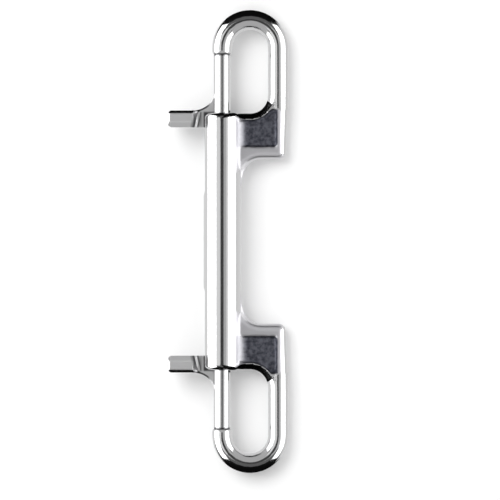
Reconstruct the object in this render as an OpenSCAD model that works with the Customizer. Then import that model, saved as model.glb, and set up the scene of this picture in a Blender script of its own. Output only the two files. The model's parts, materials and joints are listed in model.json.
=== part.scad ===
// Double ended bolt snap, cast stainless steel: one body with a hook at each end,
// and in each end of its barrel a sprung bolt drawn back by a thumb lever.
// Millimetres. The snap lies on the floor as it comes to rest, its long axis along Y.

/* [Whole snap] */
// Length over the two hooks
length = 115; // [108:0.5:122]
// Thickness of the round hook stock
wire_d = 4.9; // [4.5:0.1:5.3]
// Clear width inside a hook
eye_w = 9; // [8:0.1:10.5]
// Straight length of the nose below the hook's bend
nose_len = 2; // [1.4:0.1:2.6]
// Rounding of the nose's end
nose_round = 1.2; // [0.6:0.1:1.3]
// Depth of the hollow in the nose that takes the tip of the bolt
seat_depth = 0.8; // [0.5:0.1:1.2]

/* [Barrel] */
// Outside diameter of the barrel
barrel_d = 9.2; // [8.8:0.1:10]
// Length of the barrel
barrel_len = 64; // [60:0.5:68]
// Rounding of the barrel's end edges
barrel_round = 1.4; // [0.5:0.1:1.4]
// Diameter of the two blind bores
bore_d = 6.2; // [5.8:0.1:6.6]
// Thickness of metal left between the two bores
middle_wall = 3; // [2:0.5:6]

/* [Web between barrel and hook] */
// Distance from the end of the barrel to the far edge of the web
web_len = 11.6; // [10:0.1:13]
// Thickness of the rounded edge along the web
web_edge_d = 3.7; // [3.5:0.1:4.1]
// Thickness of the rounded rim that closes the eye
eye_rim_d = 3.8; // [3.8:0.1:4.4]
// Thickness of the metal at the floor of the pockets
web_floor_t = 2.5; // [2:0.1:3]
// Radius of the hollow curve from the web into the barrel
web_sweep_r = 5.2; // [4:0.1:6]
// Rounding of the web's outer corner, seen from above
web_corner_r = 1.7; // [1.2:0.1:1.9]
// Distance from the crest of the bottom edge to the pocket
rim_bottom = 1.25; // [0.8:0.05:1.5]
// Distance from the crest of the outer limb to the pocket
rim_side = 0.35; // [0.2:0.05:0.6]
// How far the pocket cuts in past the crest of the eye's rim
rim_eye = 0.15; // [0.1:0.05:0.4]
// Rounding of the pocket's outer lower corner, seen from above
pocket_corner_r = 0.7; // [0.4:0.1:1.2]
// Radius of the fillet from the pocket floor up to the barrel
pocket_fillet_r = 3.5; // [2.4:0.1:4]
// Step from the barrel's end down to the lowest point of the eye
eye_step = 0.15; // [0.1:0.05:0.6]

/* [Bolt] */
// Diameter of the bolt's pin
pin_d = 4.1; // [3.7:0.1:4.3]
// Chamfer on the tip of the pin
tip_chamfer = 0.4; // [0.2:0.1:0.6]
// Radial clearance of the bolt's guide in the bore
guide_clear = 0.1; // [0.03:0.01:0.1]
// Length of the guide
guide_len = 9; // [7:0.5:11]
// Depth of the guide's shoulder inside the barrel at rest
shoulder_in = 0.7; // [0.4:0.1:1.5]
// Diameter of the spigot that centres the spring
spigot_d = 3.2; // [2.6:0.1:3.6]
// Length of the spigot
spigot_len = 4; // [2:0.5:5]
// How far the bolt draws back
travel = 15; // [12:0.5:16]

/* [Thumb lever] */
// Distance from the bolt's axis to the far end of the thumb piece
thumb_reach = 13.4; // [12:0.1:15]
// Length of the thumb piece, away from the barrel
thumb_len = 7.7; // [6.5:0.1:8.4]
// Height of the thumb piece, along the barrel
thumb_h = 4.2; // [3.6:0.1:5]
// Depth of the thumb piece, front to back
thumb_depth = 5.2; // [4.2:0.1:6.5]
// How far the thumb piece stands past the barrel's end at rest
thumb_rise = 0.55; // [0:0.05:1.5]
// Bevel along the hook side of the thumb piece
thumb_top_bevel = 0.75; // [0.4:0.05:1]
// Bevel along the middle side of the thumb piece
thumb_low_bevel = 1.3; // [0.8:0.05:1.5]
// Rounding of the thumb piece's far corners
thumb_far_r = 0.5; // [0.3:0.1:1]
// Radius of the hollow curve from the thumb piece down to the neck
thumb_near_r = 1.4; // [0.8:0.1:1.8]
// Thickness of the neck that passes through the slot
neck_t = 2.4; // [2:0.1:2.8]
// Clearance of the neck in the slot, each side
slot_clear = 0.2; // [0.1:0.05:0.3]
// Radius of the hollow curve from the thumb piece up to the pin
flare_r = 4; // [3:0.1:5]

/* [Spring] */
// Outside diameter of the spring
spring_d = 5.7; // [5.3:0.1:5.7]
// Thickness of the spring wire
spring_wire = 0.5; // [0.4:0.05:0.5]
// Number of turns
spring_turns = 10; // [8:1:10]

/* [Hidden] */
$fn = 72;
steel = [0.72, 0.73, 0.75];
pin_steel = [0.78, 0.79, 0.81];
wire_steel = [0.62, 0.63, 0.65];
wire_r = wire_d / 2;
limb_x = eye_w + wire_d;
hook_r = limb_x / 2;
bend_y = length / 2 - wire_r - hook_r;
nose_y = bend_y - nose_len;
seat_y = nose_y + seat_depth;
barrel_r = barrel_d / 2;
barrel_y = barrel_len / 2;
bore_r = bore_d / 2;
// the socket in the nose is a little wider than the pin
seat_r = pin_d / 2 + 0.15;
// the web: its edge is a round bar, and the eye's rim is another that runs out into the outer limb,
// a hair inside it, so that they meet in a clean line
edge_r = web_edge_d / 2;
rim_r = eye_rim_d / 2;
rim_arc_r = eye_w / 2 + rim_r + 0.02;
edge_y = barrel_y - web_len + edge_r;
eye_y = barrel_y - eye_step + eye_w / 2;
corner_x = limb_x + edge_r - web_corner_r;
corner_y = edge_y - edge_r + web_corner_r;
sweep_x = barrel_r - 0.05 + web_sweep_r;
sweep_y = edge_y - edge_r - web_sweep_r;
floor_z = web_floor_t / 2;
slab_z = edge_r - 0.02;
// the fillet beside the barrel bites a hair into the barrel and the floor, so that they meet in a clean line
bite = 0.015;
fillet_z = floor_z + pocket_fillet_r - bite;
fillet_d = barrel_r + pocket_fillet_r - bite;
fillet_x = sqrt(fillet_d * fillet_d - fillet_z * fillet_z);
wedge_z = fillet_z * barrel_r / fillet_d - 0.03;
// the bolt
pin_r = pin_d / 2;
guide_r = bore_r - guide_clear;
guide_top = barrel_y - shoulder_in;
guide_low = guide_top - guide_len;
spigot_r = spigot_d / 2;
thumb_top = barrel_y + thumb_rise;
thumb_low = thumb_top - thumb_h;
thumb_z = thumb_depth / 2;
thumb_near = thumb_reach - thumb_len;
flare_end = sqrt(pin_r * pin_r - neck_t * neck_t / 4) - 0.1;
slot_z = neck_t / 2 + slot_clear;
slot_y = thumb_low - travel - 0.3;
// the spring
bore_end = middle_wall / 2;
spring_len = guide_low - bore_end;
coil_r = (spring_d - spring_wire) / 2;
coil_h = spring_len - spring_wire;
end_pitch = spring_wire * 1.06;
mid_pitch = (coil_h - 2 * end_pitch) / (spring_turns - 2);
coil_steps = 24;
coil_sides = 8;
// at rest the snap is rolled about its long axis until both the barrel and the outer limbs touch the floor
roll = asin((barrel_r - wire_r) / limb_x);
right_x = limb_x * cos(roll) + wire_r;
left_x = (thumb_reach - thumb_far_r) * cos(roll) + (thumb_z - thumb_far_r) * sin(roll) + thumb_far_r;
shift_x = (left_x - right_x) / 2;

module at_rest() {
    translate([shift_x, 0, barrel_r]) rotate([0, roll, 0]) children();
}

module both_ends() {
    children();
    mirror([0, 1, 0]) children();
}

// a round bar along Y, from one height to another
module bar_y(r, from, to) {
    translate([0, from, 0]) rotate([-90, 0, 0]) cylinder(h = to - from, r = r);
}

// a round bar along X
module bar_x(r, from, to) {
    translate([from, 0, 0]) rotate([0, 90, 0]) cylinder(h = to - from, r = r);
}

// the hook: nose, bend, and outer limb down to the level of the eye's lower curve
module nose_profile() {
    translate([0, nose_y]) square([wire_r - nose_round, nose_len]);
    translate([0, nose_y + nose_round]) square([wire_r, nose_len - nose_round]);
    translate([wire_r - nose_round, nose_y + nose_round]) circle(r = nose_round);
}

module hook() {
    rotate([-90, 0, 0]) rotate_extrude() nose_profile();
    translate([hook_r, bend_y, 0]) rotate_extrude(angle = 180) translate([hook_r, 0]) circle(r = wire_r);
    translate([limb_x, 0, 0]) bar_y(wire_r, eye_y, bend_y);
}

// the round edge of the eye where it crosses the web into the barrel
module eye_edge() {
    translate([hook_r, eye_y, 0]) rotate([0, 0, -90]) rotate_extrude(angle = 90) {
        translate([rim_arc_r, 0]) circle(r = rim_r);
    }
    translate([0, eye_y - rim_arc_r, 0]) bar_x(rim_r, barrel_r - 0.8, hook_r);
}

// the outer limb below the eye, tapering a little towards the web's corner
module web_limb() {
    translate([limb_x, edge_y, 0]) rotate([-90, 0, 0]) {
        cylinder(h = eye_y - edge_y + 0.1, r1 = edge_r, r2 = wire_r - 0.005);
    }
}

module web_corner() {
    intersection() {
        translate([limb_x, 0, 0]) bar_y(edge_r, edge_y - 2 * edge_r, edge_y + edge_r);
        translate([0, edge_y, 0]) bar_x(edge_r, limb_x - edge_r, limb_x + 2 * edge_r);
        linear_extrude(height = web_edge_d + 1, center = true) difference() {
            translate([limb_x, edge_y - edge_r - 1]) square([edge_r + 1, edge_r + 1]);
            translate([corner_x, corner_y - web_corner_r - 2]) square([web_corner_r + 2, web_corner_r + 2]);
        }
    }
    translate([corner_x, corner_y, 0]) rotate([0, 0, -90]) rotate_extrude(angle = 90) intersection() {
        translate([web_corner_r - edge_r, 0]) circle(r = edge_r);
        translate([0, -edge_r]) square([web_corner_r + 1, web_edge_d]);
    }
}

// the round edge along the web and its hollow curve into the barrel
module web_edge() {
    translate([0, edge_y, 0]) bar_x(edge_r, sweep_x, limb_x);
    translate([sweep_x, sweep_y, 0]) rotate([0, 0, 90]) rotate_extrude(angle = 90) {
        translate([web_sweep_r + edge_r, 0]) circle(r = edge_r);
    }
}

// the flat of the web, from crest to crest of its round edges
module web_slab() {
    linear_extrude(height = 2 * slab_z, center = true) difference() {
        translate([0, sweep_y]) square([limb_x, eye_y - sweep_y]);
        translate([hook_r, eye_y]) circle(r = rim_arc_r);
        translate([-1, eye_y - rim_arc_r]) square([hook_r + 1, rim_arc_r + 1]);
        translate([sweep_x, sweep_y]) circle(r = web_sweep_r + edge_r);
        translate([sweep_x, sweep_y - 1]) square([limb_x, edge_y - sweep_y + 1]);
    }
    translate([bore_r, edge_y + rim_bottom, -wedge_z]) {
        cube([fillet_x - bore_r, eye_y - rim_arc_r - edge_y - rim_bottom, 2 * wedge_z]);
    }
}

// the recess in the web's upper face, the other face has its mirror image
module pocket_outline() {
    difference() {
        translate([0, edge_y + rim_bottom]) square([limb_x - rim_side, eye_y - edge_y - rim_bottom]);
        translate([hook_r, eye_y]) circle(r = rim_arc_r - rim_eye);
        translate([-1, eye_y - rim_arc_r + rim_eye]) square([hook_r + 1, rim_arc_r]);
        translate([limb_x - rim_side - pocket_corner_r, edge_y + rim_bottom]) difference() {
            square(pocket_corner_r);
            translate([0, pocket_corner_r]) circle(r = pocket_corner_r);
        }
    }
}

module pocket() {
    intersection() {
        translate([0, 0, floor_z]) linear_extrude(height = wire_d) pocket_outline();
        translate([fillet_x, edge_y, 0]) cube([limb_x, eye_y - edge_y, 2 * wire_d]);
    }
    intersection() {
        linear_extrude(height = 2 * wire_d) pocket_outline();
        translate([fillet_x, 0, fillet_z]) bar_y(pocket_fillet_r, edge_y, eye_y);
    }
}

module barrel_profile() {
    translate([0, -barrel_y]) square([barrel_r - barrel_round, barrel_len]);
    translate([0, barrel_round - barrel_y]) square([barrel_r, barrel_len - 2 * barrel_round]);
    translate([barrel_r - barrel_round, barrel_y - barrel_round]) circle(r = barrel_round);
    translate([barrel_r - barrel_round, barrel_round - barrel_y]) circle(r = barrel_round);
}

// the slot that the lever's neck rides in, open at the barrel's end
module slot() {
    translate([-barrel_d, slot_y, -slot_z]) cube([barrel_d, barrel_y + 1 - slot_y, 2 * slot_z]);
    translate([0, slot_y, 0]) bar_x(slot_z, -barrel_d, 0);
}

module body() {
    color(steel) at_rest() difference() {
        union() {
            rotate([-90, 0, 0]) rotate_extrude() barrel_profile();
            both_ends() {
                hook();
                eye_edge();
                web_limb();
                web_corner();
                web_edge();
                web_slab();
            }
        }
        both_ends() {
            bar_y(bore_r, bore_end, barrel_y + 1);
            slot();
            pocket();
            mirror([0, 0, 1]) pocket();
            bar_y(seat_r, nose_y - 1, seat_y);
        }
    }
}

// the bolt, its lever cast in one with it
module bolt_profile() {
    polygon([
        [0, guide_low - spigot_len],
        [spigot_r - 0.3, guide_low - spigot_len],
        [spigot_r, guide_low - spigot_len + 0.3],
        [spigot_r, guide_low],
        [guide_r - 0.3, guide_low],
        [guide_r, guide_low + 0.3],
        [guide_r, guide_top - 0.3],
        [guide_r - 0.3, guide_top],
        [pin_r, guide_top],
        [pin_r, seat_y - tip_chamfer],
        [pin_r - tip_chamfer, seat_y],
        [0, seat_y]
    ]);
}

module neck_outline() {
    translate([-thumb_near - 1, thumb_low]) square([thumb_near + 1, thumb_h]);
    difference() {
        translate([-flare_end - flare_r, thumb_low]) square([flare_end + flare_r, thumb_h + flare_r]);
        translate([-flare_end - flare_r, thumb_top + flare_r]) circle(r = flare_r);
    }
}

module thumb_section() {
    polygon([
        [thumb_top - thumb_top_bevel, thumb_z],
        [thumb_top, thumb_z - thumb_top_bevel],
        [thumb_top, thumb_top_bevel - thumb_z],
        [thumb_top - thumb_top_bevel, -thumb_z],
        [thumb_low + thumb_low_bevel, -thumb_z],
        [thumb_low, thumb_top_bevel - thumb_z],
        [thumb_low, thumb_z - thumb_top_bevel],
        [thumb_low + thumb_low_bevel, thumb_z]
    ]);
}

module thumb_plan() {
    difference() {
        union() {
            translate([-thumb_reach, thumb_far_r - thumb_z]) square([thumb_len, thumb_depth - 2 * thumb_far_r]);
            translate([thumb_far_r - thumb_reach, -thumb_z]) square([thumb_len - thumb_far_r, thumb_depth]);
            for (side = [-1, 1]) {
                translate([thumb_far_r - thumb_reach, side * (thumb_z - thumb_far_r)]) circle(r = thumb_far_r);
            }
        }
        thumb_hollow();
        mirror([0, 1]) thumb_hollow();
    }
}

// what is taken off beside the neck, a hair deeper than the neck's face
module thumb_hollow() {
    translate([-thumb_near, neck_t / 2 + thumb_near_r - bite]) {
        circle(r = thumb_near_r);
        translate([-thumb_near_r, 0]) square([thumb_near_r + 1, thumb_z]);
    }
}

module thumb_piece() {
    intersection() {
        translate([-thumb_reach - 1, 0, 0]) rotate([90, 0, 90]) {
            linear_extrude(height = thumb_len + 2) thumb_section();
        }
        translate([0, thumb_top + 1, 0]) rotate([90, 0, 0]) linear_extrude(height = thumb_h + 2) thumb_plan();
    }
}

module bolt() {
    rotate([-90, 0, 0]) rotate_extrude() bolt_profile();
    linear_extrude(height = neck_t, center = true) neck_outline();
    thumb_piece();
}

module upper_bolt() {
    color(pin_steel) at_rest() bolt();
}

module lower_bolt() {
    color(pin_steel) at_rest() mirror([0, 1, 0]) bolt();
}

// the spring: a round wire wound along Y, its end turns closed
function rise(turn) =
    turn < 1 ? end_pitch * turn
    : turn > spring_turns - 1 ? coil_h - end_pitch * (spring_turns - turn)
    : end_pitch + mid_pitch * (turn - 1);

function ring_point(step, side) =
    let (turn = step / coil_steps, a = 360 * turn, b = 360 * side / coil_sides)
    let (out = coil_r + spring_wire / 2 * cos(b))
    [out * cos(a), bore_end + spring_wire / 2 * (1 + sin(b)) + rise(turn), out * sin(a)];

module spring() {
    last = spring_turns * coil_steps;
    points = [for (step = [0:last]) for (side = [0:coil_sides - 1]) ring_point(step, side)];
    walls = [
        for (step = [0:last - 1]) for (side = [0:coil_sides - 1])
            let (a = step * coil_sides + side, b = step * coil_sides + (side + 1) % coil_sides)
            each [[a, b, b + coil_sides], [a, b + coil_sides, a + coil_sides]]
    ];
    first_cap = [[for (side = [coil_sides - 1:-1:0]) side]];
    last_cap = [[for (side = [0:coil_sides - 1]) last * coil_sides + side]];
    polyhedron(points = points, faces = concat(walls, first_cap, last_cap), convexity = 10);
}

module upper_spring() {
    color(wire_steel) at_rest() spring();
}

module lower_spring() {
    color(wire_steel) at_rest() mirror([0, 1, 0]) spring();
}

body();
upper_bolt();
lower_bolt();
upper_spring();
lower_spring();
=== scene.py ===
import json
import math

import bmesh
import bpy
from mathutils import Matrix, Vector


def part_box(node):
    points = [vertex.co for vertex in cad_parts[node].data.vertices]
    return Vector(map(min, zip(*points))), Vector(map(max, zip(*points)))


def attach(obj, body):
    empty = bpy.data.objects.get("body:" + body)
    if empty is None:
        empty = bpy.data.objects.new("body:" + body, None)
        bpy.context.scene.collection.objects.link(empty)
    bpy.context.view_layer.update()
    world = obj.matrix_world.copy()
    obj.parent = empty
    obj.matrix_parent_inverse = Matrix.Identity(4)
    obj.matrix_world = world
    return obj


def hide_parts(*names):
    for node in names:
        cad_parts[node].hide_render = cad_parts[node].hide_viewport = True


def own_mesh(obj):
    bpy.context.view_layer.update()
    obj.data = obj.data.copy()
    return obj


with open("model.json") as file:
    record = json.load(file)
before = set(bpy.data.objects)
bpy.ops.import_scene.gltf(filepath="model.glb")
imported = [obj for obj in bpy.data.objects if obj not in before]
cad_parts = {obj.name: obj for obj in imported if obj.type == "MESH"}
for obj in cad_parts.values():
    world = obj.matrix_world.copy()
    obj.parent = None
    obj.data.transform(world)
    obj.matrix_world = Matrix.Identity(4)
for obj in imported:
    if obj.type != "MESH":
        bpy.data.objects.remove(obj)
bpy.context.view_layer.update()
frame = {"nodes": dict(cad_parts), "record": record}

scene = bpy.context.scene

# Camera. It stands square onto the snap's own face, as in the photograph. The snap lies rolled
# onto its outer limbs, so the camera leans over by the same angle, and it is far enough away that
# the outline shows no perspective.
picture_size = 500
snap_in_picture = 463
snap_above_middle = 8.5
snap_low, snap_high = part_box("body")
pixel = (snap_high[1] - snap_low[1]) / snap_in_picture
eye_mount = frame["record"]["mounts"][0]
face = Vector(eye_mount["axis"])
lean = math.atan2(face.x, face.z)
view_centre = Vector((eye_mount["pos_m"][0], -snap_above_middle * pixel, eye_mount["pos_m"][2]))
turned = Matrix.Translation(view_centre) @ Matrix.Rotation(lean, 4, "Y")
camera_distance = 1.2
camera_data = bpy.data.cameras.new("camera")
camera_data.sensor_width = 36
camera_data.lens = camera_data.sensor_width * camera_distance / (picture_size * pixel)
camera_data.clip_start = 0.01
camera = bpy.data.objects.new("camera", camera_data)
camera.matrix_world = turned @ Matrix.Translation((0, 0, camera_distance))
scene.collection.objects.link(camera)
scene.camera = camera
scene.view_settings.view_transform = "Standard"

# Floor. Plain white board. The polished steel doesn't show it: what the steel shows beneath it
# are the low panels of the studio light.
board_reach = 3.0
floor_mesh = bpy.data.meshes.new("floor")
form = bmesh.new()
bmesh.ops.create_grid(form, x_segments=1, y_segments=1, size=board_reach)
form.to_mesh(floor_mesh)
form.free()
floor = bpy.data.objects.new("floor", floor_mesh)
floor.visible_glossy = False
scene.collection.objects.link(floor)
board = bpy.data.materials.new("white_board")
board.use_nodes = True
board_surface = board.node_tree.nodes["Principled BSDF"]
board_surface.inputs["Base Color"].default_value = (0.9, 0.9, 0.9, 1)
board_surface.inputs["Roughness"].default_value = 0.9
board_surface.inputs["Specular IOR Level"].default_value = 0.0
floor_mesh.materials.append(board)


# Studio light. Flat panels, of which some only show in the steel and one only lights the board,
# so that each has its own strength. A place is given as the camera sees it: to the right, up the
# picture and towards the camera, from the middle of the view.
def panel(name, centre, shines, wide, high, strength, in_steel=True, on_board=False, stand=turned):
    back = -Vector(shines).normalized()
    up = Vector((0, 1, 0))
    right = up.cross(back).normalized()
    up = back.cross(right)
    data = bpy.data.lights.new(name, "AREA")
    data.shape = "RECTANGLE"
    data.size = wide
    data.size_y = high
    data.energy = strength * math.pi * wide * high
    light = bpy.data.objects.new(name, data)
    facing = Matrix((right, up, back)).transposed().to_4x4()
    light.matrix_world = stand @ Matrix.Translation(centre) @ facing
    light.visible_camera = False
    light.visible_glossy = in_steel
    light.visible_diffuse = on_board
    scene.collection.objects.link(light)


panel("left_box", (-0.2734, 0, 0.1229), (0.30, 0, -0.06), wide=0.365, high=0.64, strength=2.6)
panel("right_box", (0.27, 0, 0.14), (-0.30, 0, -0.06), wide=0.33, high=0.64, strength=2.4)
downwards = (0, 0, -1)
panel("left_overhead", (-0.73, 0, 1.5), downwards, wide=0.92, high=1.0, strength=0.78)
panel("right_overhead", (0.53, 0, 1.5), downwards, wide=0.54, high=1.0, strength=0.46)
panel("right_overhead_edge", (0.995, 0, 1.5), downwards, wide=0.39, high=1.0, strength=0.8)
panel("upper_ceiling", (0, 0.85, 1.6), downwards, wide=2.6, high=1.2, strength=0.12)
panel("lower_ceiling", (0, -0.85, 1.6), downwards, wide=2.6, high=1.2, strength=0.12)
panel("middle_ceiling", (0, 0, 1.6), downwards, wide=2.6, high=0.5, strength=0.05)
# the low panels lie level on the board, beside the snap and under it
upwards = (0, 0, 1)
off_board = 0.0001
level = Matrix.Identity(4)
panel("left_low", (-0.077, 0, off_board), upwards, wide=0.148, high=0.116, strength=0.85, stand=level)
panel("right_low", (0.082, 0, off_board), upwards, wide=0.136, high=0.116, strength=0.75, stand=level)
panel("middle_low", (0.0055, 0, off_board), upwards, wide=0.017, high=0.0636, strength=0.8, stand=level)
panel("upper_low", (0.0055, 0.0436, off_board), upwards, wide=0.017, high=0.0218, strength=0.8, stand=level)
panel("lower_low", (0.0055, -0.0436, off_board), upwards, wide=0.017, high=0.0218, strength=0.8, stand=level)
key_from = Vector((-0.8, 0.66, 1.02))
panel("key", key_from, -key_from, wide=1.0, high=1.0, strength=3.7, in_steel=False, on_board=True)

world = bpy.data.worlds.new("studio")
scene.world = world
world.use_nodes = True
room = world.node_tree
room.nodes["Background"].inputs["Color"].default_value = (1, 1, 1, 1)
ray = room.nodes.new("ShaderNodeLightPath")
room_light = room.nodes.new("ShaderNodeMapRange")
room_light.inputs["To Min"].default_value = 0.84
room_light.inputs["To Max"].default_value = 0.004
room.links.new(ray.outputs["Is Glossy Ray"], room_light.inputs["Value"])
room.links.new(room_light.outputs["Result"], room.nodes["Background"].inputs["Strength"])

# Grey cards. Two stand across the middle of the snap, with a wide notch at the foot, and lean
# away from each other. Each hook shows the card that faces it, and the barrel shows neither.
card_high = 0.8
card_foot = 0.001
card_lean = math.radians(6.8)
foot_wide, top_wide = 0.13, 0.26
notch_wide, notch_high = 0.05, 0.013
# the springs stand in the barrel's bores, so that their middle is on the barrel's axis
spring_low, spring_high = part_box("upper_spring")
barrel_centre = Vector(((spring_low[0] + spring_high[0]) / 2, 0, (spring_low[2] + spring_high[2]) / 2))
barrel_across = (turned.inverted() @ barrel_centre).x
card_grey = bpy.data.materials.new("card_grey")
card_grey.use_nodes = True
card_look = card_grey.node_tree
card_look.nodes.remove(card_look.nodes["Principled BSDF"])
glow = card_look.nodes.new("ShaderNodeEmission")
glow.inputs["Strength"].default_value = 0.5
clear = card_look.nodes.new("ShaderNodeBsdfTransparent")
side_seen = card_look.nodes.new("ShaderNodeNewGeometry")
either = card_look.nodes.new("ShaderNodeMixShader")
card_look.links.new(side_seen.outputs["Backfacing"], either.inputs["Fac"])
card_look.links.new(glow.outputs["Emission"], either.inputs[1])
card_look.links.new(clear.outputs["BSDF"], either.inputs[2])
card_look.links.new(either.outputs["Shader"], card_look.nodes["Material Output"].inputs["Surface"])
card_grey.cycles.emission_sampling = "NONE"


def stand_card(name, form, material, stand):
    """Stand a card where only the steel shows it."""
    mesh = bpy.data.meshes.new(name)
    form.to_mesh(mesh)
    form.free()
    mesh.materials.append(material)
    card = bpy.data.objects.new(name, mesh)
    card.matrix_world = stand
    card.visible_camera = False
    card.visible_diffuse = False
    card.visible_shadow = False
    card.visible_transmission = False
    scene.collection.objects.link(card)


upright = Matrix.Rotation(math.radians(90), 4, "X")
for end, side in (("upper", 1), ("lower", -1)):
    form = bmesh.new()
    bmesh.ops.create_grid(form, x_segments=3, y_segments=2, size=1)
    for corner in form.verts:
        row = round(corner.co.y)
        if abs(corner.co.x) > 0.5:
            corner.co.x = math.copysign((top_wide if row == 1 else foot_wide) / 2, corner.co.x)
        else:
            corner.co.x = math.copysign(notch_wide / 2, corner.co.x) - side * barrel_across
        corner.co.y = (0, notch_high, card_high)[row + 1]
    foot = [part for part in form.faces if part.calc_center_median().y < notch_high]
    foot.sort(key=lambda part: part.calc_center_median().x)
    bmesh.ops.delete(form, geom=[foot[1]], context="FACES_ONLY")
    place = Matrix.Translation((0, -view_centre.y, card_foot))
    turn = Matrix.Rotation(math.pi if side > 0 else 0, 4, "Z")
    stood = place @ turn @ Matrix.Rotation(-card_lean, 4, "X") @ upright
    bmesh.ops.transform(form, verts=form.verts, matrix=stood)
    stand_card(end + "_card", form, card_grey, turned)

# Black cards. One stands across each eye and faces the middle of the snap, so that the lower side
# of the eye is dark, as the inside of a hook is in a white room.
eye_card_at = 0.0345
eye_card_wide, eye_card_high = 0.0086, 0.03
eye_card_foot = 0.0002
eye_card_turn = math.radians(5)
card_black = card_grey.copy()
card_black.name = "card_black"
card_black.node_tree.nodes["Emission"].inputs["Strength"].default_value = 0.0
for end, side in (("upper", 1), ("lower", -1)):
    form = bmesh.new()
    bmesh.ops.create_grid(form, x_segments=1, y_segments=1, size=0.5)
    place = Matrix.Translation((eye_mount["pos_m"][0], side * eye_card_at, eye_card_high / 2 + eye_card_foot))
    turn = Matrix.Rotation(side * eye_card_turn + (math.pi if side < 0 else 0), 4, "Z")
    shape = Matrix.Diagonal((eye_card_wide, eye_card_high, 1, 1))
    bmesh.ops.transform(form, verts=form.verts, matrix=place @ turn @ upright @ shape)
    stand_card(end + "_eye_card", form, card_black, Matrix.Identity(4))

# Body. One investment casting in stainless steel, tumbled and polished, so every edge and every
# inside corner is softened. The recesses of its webs are too deep for the polishing: they keep
# the rough skin of the mould, and the rims round them are only half polished. The skin in the
# recesses is coloured near black, far darker than steel, as painted shade in the recesses.
body_grain = 0.00027
socket_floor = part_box("upper_bolt")[1][1]
socket_r = 0.0022
socket_cut = 0.002
lip_end = 0.00034
plug_r = socket_r + 0.00002
plug_from, plug_to = socket_floor - lip_end - 0.0001, socket_floor + 0.0003
stock_r = 0.00245
eye_centre = (0.00695, 0.03635)
bend_r = 0.00695
rim_cut = 0.00625
rim_start = 0.0038
limb_x = 0.0139
limb_from, limb_to = 0.0327, 0.0366
limb_r = stock_r - 0.00001
tail_centre = (0.01095, 0.0152)
tail_reach = 0.0065
tail_r = 0.00065
tail_turn = math.radians(-48)
tail_end = (-0.0005, -0.0027, 0)
# the places of the finishes and of the painted shade in the recesses, each as where its mask is
# nothing and where it is whole
pocket_left = (0.0030, 0.0064)
pocket_corner = (0.0127, 0.0246)
pocket_edge = (0.00125, 0.00105)
pocket_top = (0.0330, 0.0325)
pocket_round = (0.00605, 0.00635)
rim_left = (0.0029, 0.0035)
rim_right = (0.01500, 0.01440)
sweep_centre = (0.00975, 0.0152)
rim_sweep = (0.00555, 0.00610)
rim_low = (0.0165, 0.0185)
tail_left = (0.00435, 0.0046)
tail_low = (0.0120, 0.0130)
tail_sweep = (0.0066, 0.0060)
tail_satin = 0.7
# the recess's colours: near-black bluish greys, far darker than steel, as painted shade in the recess
dark_skin_with_painted_shade, pale_skin_with_painted_shade = (0.058, 0.06, 0.076, 1), (0.16, 0.165, 0.195, 1)
skin_grit = (0.3, 0.7)
skin_roughness = 0.1
polished_color = (0.72, 0.72, 0.725, 1)
polish_least, polish_haze = 0.095, 0.03


def calculate(tree, operation, first, second=None):
    node = tree.nodes.new("ShaderNodeMath")
    node.operation = operation
    for socket, value in zip(node.inputs, (first, second)):
        if isinstance(value, (int, float)):
            socket.default_value = value
        elif value is not None:
            tree.links.new(value, socket)
    return node.outputs["Value"]


def past(tree, value, start):
    """How far value lies past start, and nothing where it doesn't."""
    return calculate(tree, "MAXIMUM", calculate(tree, "SUBTRACT", value, start), 0)


def short_of(tree, value, end):
    """How far value lies short of end, and nothing where it doesn't."""
    return calculate(tree, "MAXIMUM", calculate(tree, "SUBTRACT", end, value), 0)


def length_of(tree, across, along):
    squares = calculate(tree, "MULTIPLY", across, across), calculate(tree, "MULTIPLY", along, along)
    return calculate(tree, "SQRT", calculate(tree, "ADD", *squares))


def fade(tree, value, nothing, whole, label):
    """A mask over value that goes from 0 at nothing to 1 at whole."""
    ramp = tree.nodes.new("ShaderNodeMapRange")
    ramp.interpolation_type = "SMOOTHSTEP"
    ramp.label = label
    rising = nothing < whole
    ramp.inputs["From Min"].default_value = nothing if rising else whole
    ramp.inputs["From Max"].default_value = whole if rising else nothing
    ramp.inputs["To Min"].default_value = 0 if rising else 1
    ramp.inputs["To Max"].default_value = 1 if rising else 0
    tree.links.new(value, ramp.inputs["Value"])
    return ramp.outputs["Result"]


def overlap(tree, *masks):
    """The mask that is whole only where all the masks are."""
    shared = masks[0]
    for mask in masks[1:]:
        shared = calculate(tree, "MULTIPLY", shared, mask)
    return shared


def own_spot(tree):
    """The point on the snap from the middle of its barrel, square to its own face."""
    place = tree.nodes.new("ShaderNodeTexCoord")
    centred = tree.nodes.new("ShaderNodeMapping")
    centred.vector_type = "TEXTURE"
    centred.inputs["Location"].default_value = barrel_centre
    centred.inputs["Rotation"].default_value = (0, lean, 0)
    tree.links.new(place.outputs["Object"], centred.inputs["Vector"])
    return centred.outputs["Vector"]


def across_and_along(tree, spot):
    """How far the spot lies across the snap, and how far from the middle towards either end."""
    parts = tree.nodes.new("ShaderNodeSeparateXYZ")
    tree.links.new(spot, parts.inputs["Vector"])
    return parts.outputs["X"], calculate(tree, "ABSOLUTE", parts.outputs["Y"])


def clouds(tree, spot, scale, detail):
    noise = tree.nodes.new("ShaderNodeTexNoise")
    noise.inputs["Scale"].default_value = scale
    noise.inputs["Detail"].default_value = detail
    tree.links.new(spot, noise.inputs["Vector"])
    return noise.outputs["Fac"]


def shade_mix(tree, mask, first, second):
    mix = tree.nodes.new("ShaderNodeMix")
    mix.data_type = "RGBA"
    tree.links.new(mask, mix.inputs["Factor"])
    for socket, value in ((mix.inputs["A"], first), (mix.inputs["B"], second)):
        if isinstance(value, tuple):
            socket.default_value = value
        else:
            tree.links.new(value, socket)
    return mix.outputs["Result"]


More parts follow.
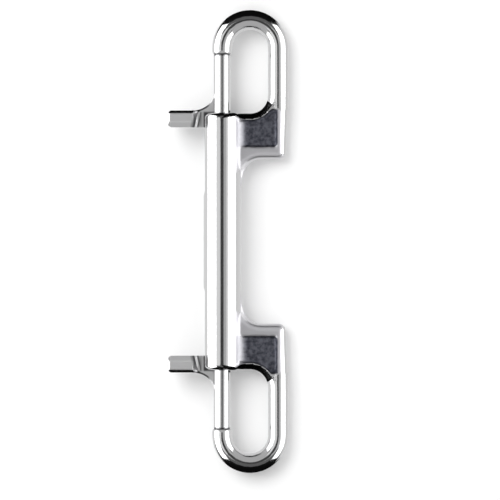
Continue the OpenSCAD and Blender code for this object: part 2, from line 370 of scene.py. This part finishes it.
# Polished steel that turns satin where Satin is 1, with the slight swell that a buffing wheel
# leaves. The body and the bolts both have it.
buffed = bpy.data.node_groups.new("buffed_steel", "ShaderNodeTree")
for label in ("Satin", "Satin Roughness"):
    buffed.interface.new_socket(label, in_out="INPUT", socket_type="NodeSocketFloat")
for label in ("Polished Color", "Satin Color"):
    buffed.interface.new_socket(label, in_out="INPUT", socket_type="NodeSocketColor")
buffed.interface.new_socket("Color", in_out="OUTPUT", socket_type="NodeSocketColor")
for label in ("Roughness", "Height"):
    buffed.interface.new_socket(label, in_out="OUTPUT", socket_type="NodeSocketFloat")
buffed_in = buffed.nodes.new("NodeGroupInput").outputs
buffed_out = buffed.nodes.new("NodeGroupOutput").inputs
spot = own_spot(buffed)
swell = clouds(buffed, spot, scale=160, detail=1)
haze = clouds(buffed, spot, scale=500, detail=5)
polish_roughness = calculate(buffed, "ADD", polish_least, calculate(buffed, "MULTIPLY", haze, polish_haze))
to_satin = calculate(buffed, "SUBTRACT", buffed_in["Satin Roughness"], polish_roughness)
to_satin = calculate(buffed, "MULTIPLY", to_satin, buffed_in["Satin"])
buffed.links.new(calculate(buffed, "ADD", polish_roughness, to_satin), buffed_out["Roughness"])
color = shade_mix(buffed, buffed_in["Satin"], buffed_in["Polished Color"], buffed_in["Satin Color"])
buffed.links.new(color, buffed_out["Color"])
buffed.links.new(swell, buffed_out["Height"])


def polished_steel(name, satin_roughness, satin_color):
    """A metal with the buffed effect in it, and the nodes that its masks still go into."""
    m = bpy.data.materials.new(name)
    m.use_nodes = True
    tree = m.node_tree
    surface = tree.nodes["Principled BSDF"]
    surface.inputs["Metallic"].default_value = 1.0
    look = tree.nodes.new("ShaderNodeGroup")
    look.node_tree = buffed
    look.inputs["Satin Roughness"].default_value = satin_roughness
    look.inputs["Polished Color"].default_value = polished_color
    look.inputs["Satin Color"].default_value = satin_color
    ripple = tree.nodes.new("ShaderNodeBump")
    ripple.inputs["Strength"].default_value = 0.3
    ripple.inputs["Distance"].default_value = 0.00002
    tree.links.new(look.outputs["Height"], ripple.inputs["Height"])
    tree.links.new(ripple.outputs["Normal"], surface.inputs["Normal"])
    tree.links.new(look.outputs["Color"], surface.inputs["Base Color"])
    tree.links.new(look.outputs["Roughness"], surface.inputs["Roughness"])
    return m, tree, surface, look, ripple


cast_steel, tree, surface, look, ripple = polished_steel(
    "cast_steel", satin_roughness=0.42, satin_color=(0.70, 0.695, 0.722, 1))
spot = own_spot(tree)
x, y = across_and_along(tree, spot)
from_eye = length_of(
    tree, calculate(tree, "SUBTRACT", x, eye_centre[0]), calculate(tree, "SUBTRACT", y, eye_centre[1]))
from_sweep = length_of(tree, short_of(tree, x, sweep_centre[0]), past(tree, y, sweep_centre[1]))
from_corner = length_of(tree, past(tree, x, pocket_corner[0]), short_of(tree, y, pocket_corner[1]))
web = overlap(tree, fade(tree, from_eye, *pocket_round, "outside the eye"), fade(tree, y, *pocket_top, "web"))
rim = overlap(
    tree, web,
    fade(tree, x, *rim_left, "off the barrel"),
    fade(tree, x, *rim_right, "inside the limb"),
    fade(tree, from_sweep, *rim_sweep, "from the sweep"),
    fade(tree, y, *rim_low, "up from the sweep's tip"))
tail = overlap(
    tree,
    fade(tree, x, *tail_left, "right of the barrel"),
    fade(tree, y, *tail_low, "tail"),
    fade(tree, from_sweep, *tail_sweep, "along the sweep"))
satin = calculate(tree, "MAXIMUM", rim, calculate(tree, "MULTIPLY", tail, tail_satin))
tree.links.new(satin, look.inputs["Satin"])
# the recess: the rough skin of the mould, with its colour painted dark as the shade in the recess
pocket = overlap(
    tree, web,
    fade(tree, x, *pocket_left, "from the barrel"),
    fade(tree, from_corner, *pocket_edge, "inside the recess's edge"))
grit = clouds(tree, spot, scale=1100, detail=3)
# the recess's colour: near-black greys broken up by grit, painted shade laid over the rough skin
skin = shade_mix(tree, fade(tree, grit, *skin_grit, "grit"), dark_skin_with_painted_shade, pale_skin_with_painted_shade)
tree.links.new(shade_mix(tree, pocket, look.outputs["Color"], skin), surface.inputs["Base Color"])
rougher = calculate(tree, "MULTIPLY", pocket, skin_roughness)
tree.links.new(calculate(tree, "ADD", look.outputs["Roughness"], rougher), surface.inputs["Roughness"])
rough_skin = tree.nodes.new("ShaderNodeBump")
rough_skin.inputs["Strength"].default_value = 1.0
rough_skin.inputs["Distance"].default_value = 0.00005
tree.links.new(calculate(tree, "MULTIPLY", grit, pocket), rough_skin.inputs["Height"])
tree.links.new(ripple.outputs["Normal"], rough_skin.inputs["Normal"])
tree.links.new(rough_skin.outputs["Normal"], surface.inputs["Normal"])


def swept(form, face, centre, turn, steps, shift=(0, 0, 0), axis=(0, 0, 1)):
    """Carry a face round a centre, or straight on by shift, and return the face it ends as."""
    geom = [face] + list(face.edges) + list(face.verts)
    moved = bmesh.ops.spin(
        form, geom=geom, cent=centre, axis=axis, dvec=shift, angle=turn, steps=steps, use_duplicate=False)
    return next(part for part in moved["geom_last"] if isinstance(part, bmesh.types.BMFace))


def placed(form, name, stand):
    """The form as a mesh, moved from the snap's own face to where the snap lies."""
    bmesh.ops.transform(form, verts=form.verts, matrix=stand)
    bmesh.ops.recalc_face_normals(form, faces=form.faces)
    mesh = bpy.data.meshes.new(name)
    form.to_mesh(mesh)
    form.free()
    return mesh


def softened(node, name, grain, added):
    """The node's form with more stock added and every edge softened, as by casting and tumbling."""
    form = bmesh.new()
    form.from_mesh(frame["nodes"][node].data)
    bmesh.ops.remove_doubles(form, verts=form.verts, dist=1e-6)
    form.from_mesh(added)
    mesh = bpy.data.meshes.new(name)
    form.to_mesh(mesh)
    form.free()
    piece = bpy.data.objects.new(name, mesh)
    scene.collection.objects.link(piece)
    skin = piece.modifiers.new("skin", "REMESH")
    skin.mode = "VOXEL"
    skin.voxel_size = grain
    skin.use_smooth_shade = True
    soften = piece.modifiers.new("soften", "SMOOTH")
    soften.factor = 0.5
    soften.iterations = 6
    settle(piece)
    return piece


def settle(piece):
    """Make the piece's modifiers part of its mesh."""
    piece.data = bpy.data.meshes.new_from_object(piece.evaluated_get(bpy.context.evaluated_depsgraph_get()))
    piece.modifiers.clear()
    piece.data.materials.clear()


# the hook's round stock goes on round the lower side of the eye, as far as the recess cuts it
own_stand = Matrix.Translation(barrel_centre) @ Matrix.Rotation(lean, 4, "Y")
facing_x = Matrix.Rotation(math.radians(90), 4, "Y")
endways = Matrix.Rotation(math.radians(90), 4, "X")
form = bmesh.new()
start = Matrix.Translation((rim_start, eye_centre[1] - bend_r, 0)) @ facing_x
bmesh.ops.create_circle(form, cap_ends=True, segments=64, radius=stock_r, matrix=start)
bmesh.ops.bisect_plane(
    form, geom=form.verts[:] + form.edges[:] + form.faces[:], plane_co=(0, eye_centre[1] - rim_cut, 0),
    plane_no=(0, -1, 0), clear_outer=True)
front = swept(form, next(iter(form.faces)), (0, 0, 0), 0, 1, (eye_centre[0] - rim_start, 0, 0))
swept(form, front, (*eye_centre, 0), math.radians(90), 32)
# the limb is full round beside the top of the recess
place = Matrix.Translation((limb_x, (limb_from + limb_to) / 2, 0)) @ endways
bmesh.ops.create_cone(
    form, cap_ends=True, segments=64, radius1=limb_r, radius2=limb_r, depth=limb_to - limb_from, matrix=place)
# the web's sweep runs out along the barrel
for turn, steps, shift in ((tail_turn, 16, (0, 0, 0)), (0, 1, tail_end)):
    start = Matrix.Translation((tail_centre[0] - tail_reach, tail_centre[1], 0)) @ endways
    disc = bmesh.ops.create_circle(form, cap_ends=True, segments=32, radius=tail_r, matrix=start)
    swept(form, disc["verts"][0].link_faces[0], (*tail_centre, 0), turn, steps, shift)
# the socket in each nose has a lip too thin to soften, so it is filled first and cut again after
place = Matrix.Translation((0, (plug_from + plug_to) / 2, 0)) @ endways
bmesh.ops.create_cone(
    form, cap_ends=True, segments=64, radius1=plug_r, radius2=plug_r, depth=plug_to - plug_from, matrix=place)
bmesh.ops.mirror(form, geom=form.verts[:] + form.edges[:] + form.faces[:], merge_dist=0, axis="Y")
body = softened("body", "cast_body", body_grain, placed(form, "added_stock", own_stand))
form = bmesh.new()
for side in (1, -1):
    place = Matrix.Translation((0, side * (socket_floor - socket_cut / 2), 0)) @ endways
    bmesh.ops.create_cone(
        form, cap_ends=True, segments=96, radius1=socket_r, radius2=socket_r, depth=socket_cut, matrix=place)
cutter = bpy.data.objects.new("socket_cutter", placed(form, "socket_cutter", own_stand))
scene.collection.objects.link(cutter)
cut = body.modifiers.new("sockets", "BOOLEAN")
cut.operation = "DIFFERENCE"
cut.object = cutter
settle(body)
bpy.data.objects.remove(cutter)
body.data.set_sharp_from_angle(angle=math.radians(50))
body.data.materials.append(cast_steel)
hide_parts("body")
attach(body, "body")

# Bolts. Each is a smaller casting of the same steel: a pin, a guide, and a neck that comes out
# through the slot to the thumb piece. The pin is ground and polished, and the neck and the thumb
# piece are left satin. The bolt slides in its bore and rests in the hook's nose.
bolt_grain = 0.00012
flare_r = 0.0056
flare_centre = (-0.00716, 0.03815)
flare_stock = 0.0015
flare_thick = 0.0024
corner_r = 0.001
satin_from = (-0.00185, -0.0021)
satin_far = (-0.0131, -0.0129)
bevel_across = (-0.0053, -0.0058)
top_edge = (flare_r + 0.00075, flare_r + 0.0006)
# a painted dark reflection along the flare's edge, from the thumb piece to short of the pin
flare_edge = (flare_r + 0.00055, flare_r + 0.0003)
edge_across = (-0.0076, -0.0071)
edge_to = (-0.0028, -0.0036)
flare_edge_painted_dark = 0.9
hollow_up = (0.0324, 0.0319)
# painted shadow across the pin's tip, where it goes into the nose's socket
tip_up = (0.0459, 0.0464)
tip_painted_shadow = 0.8
# how dark each stripe of painted shade and painted dark reflection is, in the hollow beside the
# thumb piece and at the neck's root; between the stripes the steel's own reflection shows
hollow_from, hollow_to = -0.0085, -0.0035
hollow_painted_shade = (
    (-0.0074, 0.0), (-0.0069, 0.5), (-0.0066, 0.8), (-0.0063, 0.9), (-0.00615, 0.0), (-0.0057, 0.0),
    (-0.0055, 0.9), (-0.0052, 0.55), (-0.0049, 0.1), (-0.0046, 0.3), (-0.0044, 0.9), (-0.0038, 0.9))
root_painted_shade = 0.85
slant, slant_from = 0.25, 0.0309
slant_across = (-0.0049, -0.0057)
bolt_steel, tree, surface, look, ripple = polished_steel(
    "bolt_steel", satin_roughness=0.44, satin_color=polished_color)
x, y = across_and_along(tree, own_spot(tree))
from_top = length_of(tree, past(tree, x, flare_centre[0]), calculate(tree, "SUBTRACT", flare_centre[1], y))
off_pin = fade(tree, x, *satin_from, "neck and thumb piece")
bevel = overlap(tree, fade(tree, x, *bevel_across, "thumb piece"), fade(tree, from_top, *top_edge, "top edge"))
satin = overlap(
    tree, off_pin, calculate(tree, "SUBTRACT", 1, bevel), fade(tree, x, *satin_far, "short of the far end"))
tree.links.new(satin, look.inputs["Satin"])
# the stripes of painted shade and painted dark reflection, read across the bolt and slanted up the neck
shades = tree.nodes.new("ShaderNodeValToRGB")
for where, dark in hollow_painted_shade:
    stop = shades.color_ramp.elements.new((where - hollow_from) / (hollow_to - hollow_from))
    stop.color = (dark, dark, dark, 1)
shades.color_ramp.elements[0].color = (0, 0, 0, 1)
shades.color_ramp.elements[-1].color = (root_painted_shade, root_painted_shade, root_painted_shade, 1)
aslant = calculate(tree, "MULTIPLY", calculate(tree, "SUBTRACT", y, slant_from), slant)
aslant = calculate(tree, "MULTIPLY", aslant, fade(tree, x, *slant_across, "slanted side"))
reach = tree.nodes.new("ShaderNodeMapRange")
reach.inputs["From Min"].default_value = hollow_from
reach.inputs["From Max"].default_value = hollow_to
tree.links.new(calculate(tree, "SUBTRACT", x, aslant), reach.inputs["Value"])
tree.links.new(reach.outputs["Result"], shades.inputs["Fac"])
hollow = overlap(tree, shades.outputs["Color"], fade(tree, y, *hollow_up, "below the flare"), off_pin)
# the painted dark reflection along the flare's edge
edge = overlap(
    tree,
    fade(tree, from_top, *flare_edge, "flare's edge"),
    fade(tree, x, *edge_across, "off the thumb"),
    fade(tree, x, *edge_to, "short of the pin"))
edge = calculate(tree, "MULTIPLY", edge, flare_edge_painted_dark)
# the painted shadow on the pin's tip
tip = calculate(tree, "MULTIPLY", fade(tree, y, *tip_up, "tip"), tip_painted_shadow)
# all the painted shade, painted shadow and painted dark reflection on the bolt, mixed into its colour as near
# black
skin = calculate(tree, "MAXIMUM", calculate(tree, "MAXIMUM", hollow, edge), tip)
steel_with_painted_shade = shade_mix(tree, skin, look.outputs["Color"], (0.035, 0.035, 0.04, 1))
tree.links.new(steel_with_painted_shade, surface.inputs["Base Color"])


def round_thumb(piece, stand, r):
    """Round off the two outer corners of the thumb piece."""
    to_own = stand.inverted()
    spots = [to_own @ corner.co for corner in piece.data.vertices]
    far = min(spot.x for spot in spots)
    low = min(spot.y for spot in spots if spot.x < far + r)
    high = max(spot.y for spot in spots if spot.x < far + r)
    for corner, spot in zip(piece.data.vertices, spots):
        out = min(spot.x - far - r, 0)
        aside = max(spot.y - high + r, 0) + min(spot.y - low - r, 0)
        off = math.hypot(out, aside)
        if out < 0 and off > r:
            pulled = r / off - 1
            corner.co = stand @ (spot + Vector((out * pulled, aside * pulled, 0)))


for end, side in (("upper", 1), ("lower", -1)):
    own_side = own_stand @ Matrix.Diagonal((1, side, 1, 1))
    form = bmesh.new()
    start = Matrix.Translation((flare_centre[0], flare_centre[1] - flare_r - flare_stock / 2, 0)) @ facing_x
    shape = Matrix.Diagonal((flare_thick, flare_stock, 1, 1))
    bmesh.ops.create_grid(form, x_segments=1, y_segments=1, size=0.5, matrix=start @ shape)
    swept(form, next(iter(form.faces)), (*flare_centre, 0), math.radians(90), 32)
    flare = placed(form, end + "_flare", own_side)
    bolt = softened(end + "_bolt", end + "_bolt_casting", bolt_grain, flare)
    round_thumb(bolt, own_side, corner_r)
    bolt.data.materials.append(bolt_steel)
    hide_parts(end + "_bolt")
    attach(bolt, end + "_bolt")

# Springs. Each is wound from hard-drawn wire, with its end turns closed and flat. One end stands
# on the wall in the middle of the barrel, and the other is centred by the bolt's spigot.
wire = 0.0005
turns = 10
turn_steps = 28
wire_least, wire_haze = 0.2, 0.2
coil_r = (spring_high[2] - spring_low[2]) / 2 - wire / 2
spring_length = spring_high[1] - spring_low[1]
closed_pitch = wire * 1.06
open_pitch = (spring_length - wire - 2 * closed_pitch) / (turns - 2)
spring_wire = bpy.data.materials.new("spring_wire")
spring_wire.use_nodes = True
tree = spring_wire.node_tree
surface = tree.nodes["Principled BSDF"]
surface.inputs["Metallic"].default_value = 1.0
drawn = clouds(tree, own_spot(tree), scale=2200, detail=3)
wire_color = shade_mix(tree, drawn, (0.50, 0.505, 0.52, 1), (0.68, 0.685, 0.70, 1))
tree.links.new(wire_color, surface.inputs["Base Color"])
wire_roughness = calculate(tree, "ADD", wire_least, calculate(tree, "MULTIPLY", drawn, wire_haze))
tree.links.new(wire_roughness, surface.inputs["Roughness"])
for end, side in (("upper", 1), ("lower", -1)):
    foot = Vector((barrel_centre.x, side * spring_low[1], barrel_centre.z))
    form = bmesh.new()
    start = Matrix.Translation((coil_r, wire / 2, 0))
    bmesh.ops.create_circle(form, cap_ends=True, segments=10, radius=wire / 2, matrix=start)
    front = next(iter(form.faces))
    for count, pitch in ((1, closed_pitch), (turns - 2, open_pitch), (1, closed_pitch)):
        rise = (0, pitch / turn_steps, 0)
        front = swept(form, front, (0, 0, 0), math.tau * count, turn_steps * count, rise, (0, 1, 0))
    mesh = placed(form, end + "_coil", Matrix.Translation(foot) @ Matrix.Diagonal((1, side, 1, 1)))
    for part in mesh.polygons:
        part.use_smooth = len(part.vertices) == 4
    mesh.materials.append(spring_wire)
    coil = bpy.data.objects.new(end + "_coil", mesh)
    scene.collection.objects.link(coil)
    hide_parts(end + "_spring")
    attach(coil, "body")
    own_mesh(coil)
